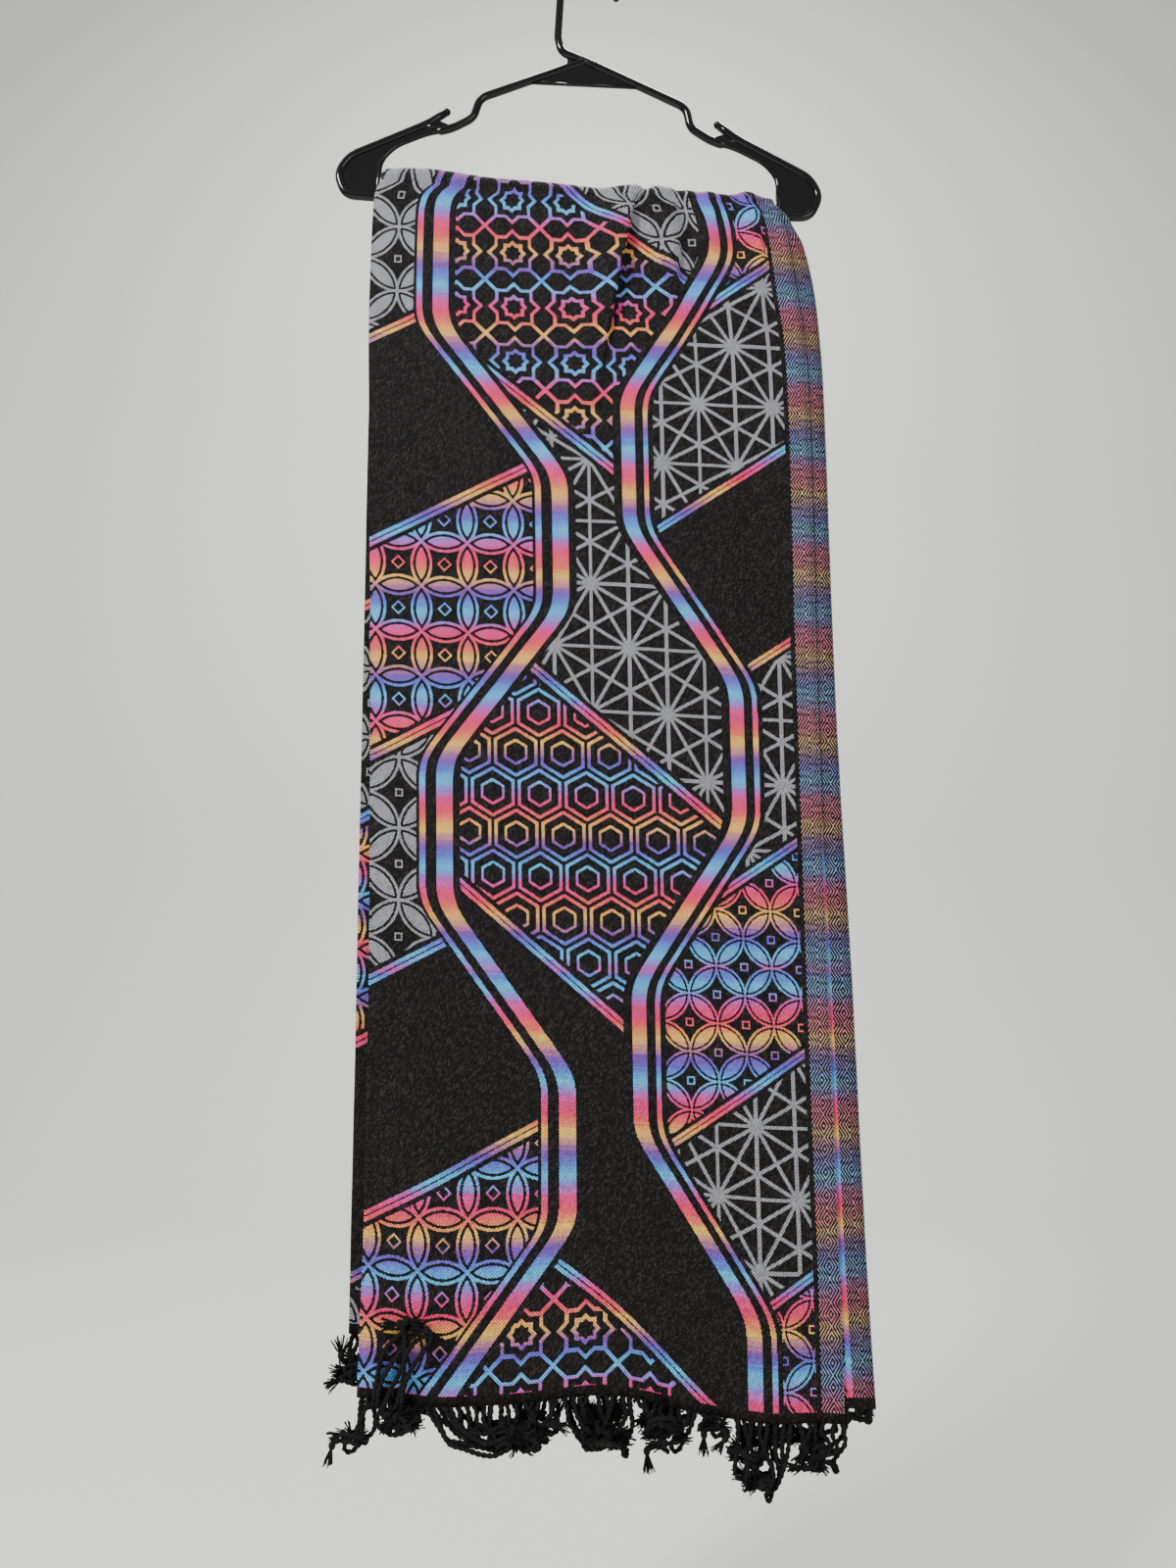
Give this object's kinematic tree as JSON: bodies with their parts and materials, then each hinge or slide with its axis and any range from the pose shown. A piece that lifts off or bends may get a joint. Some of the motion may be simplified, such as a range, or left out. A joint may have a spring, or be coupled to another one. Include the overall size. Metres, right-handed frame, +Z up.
{
  "type": "shawl on hanger",
  "caption": "Fringed woven shawl, folded in half along its length and draped over the bar of a glossy black moulded hanger.",
  "frame": {"origin": "inside of the hook's top, where a rail or wall hook holds it", "axes": "+Z up, along the hanging cloth; -Y the front of the drape; +X to the right seen from the front"},
  "size_m": [0.4112, 0.0563, 1.2092],
  "materials": {
    "hanger_plastic": "glossy black moulded plastic",
    "shawl_cloth": "soft jacquard twill, charcoal ground with rainbow and grey patterning",
    "fringe_yarn": "matt black plied yarn, twisted and knotted"
  },
  "bodies": {
    "root": {"hanger": "hanger_plastic", "shawl_front": "shawl_cloth", "shawl_over_bar": "shawl_cloth", "shawl_back": "shawl_cloth", "fringe_front_outer": "fringe_yarn", "fringe_front_inner": "fringe_yarn", "fringe_back_outer": "fringe_yarn", "fringe_back_inner": "fringe_yarn"}
  },
  "joints": []
}
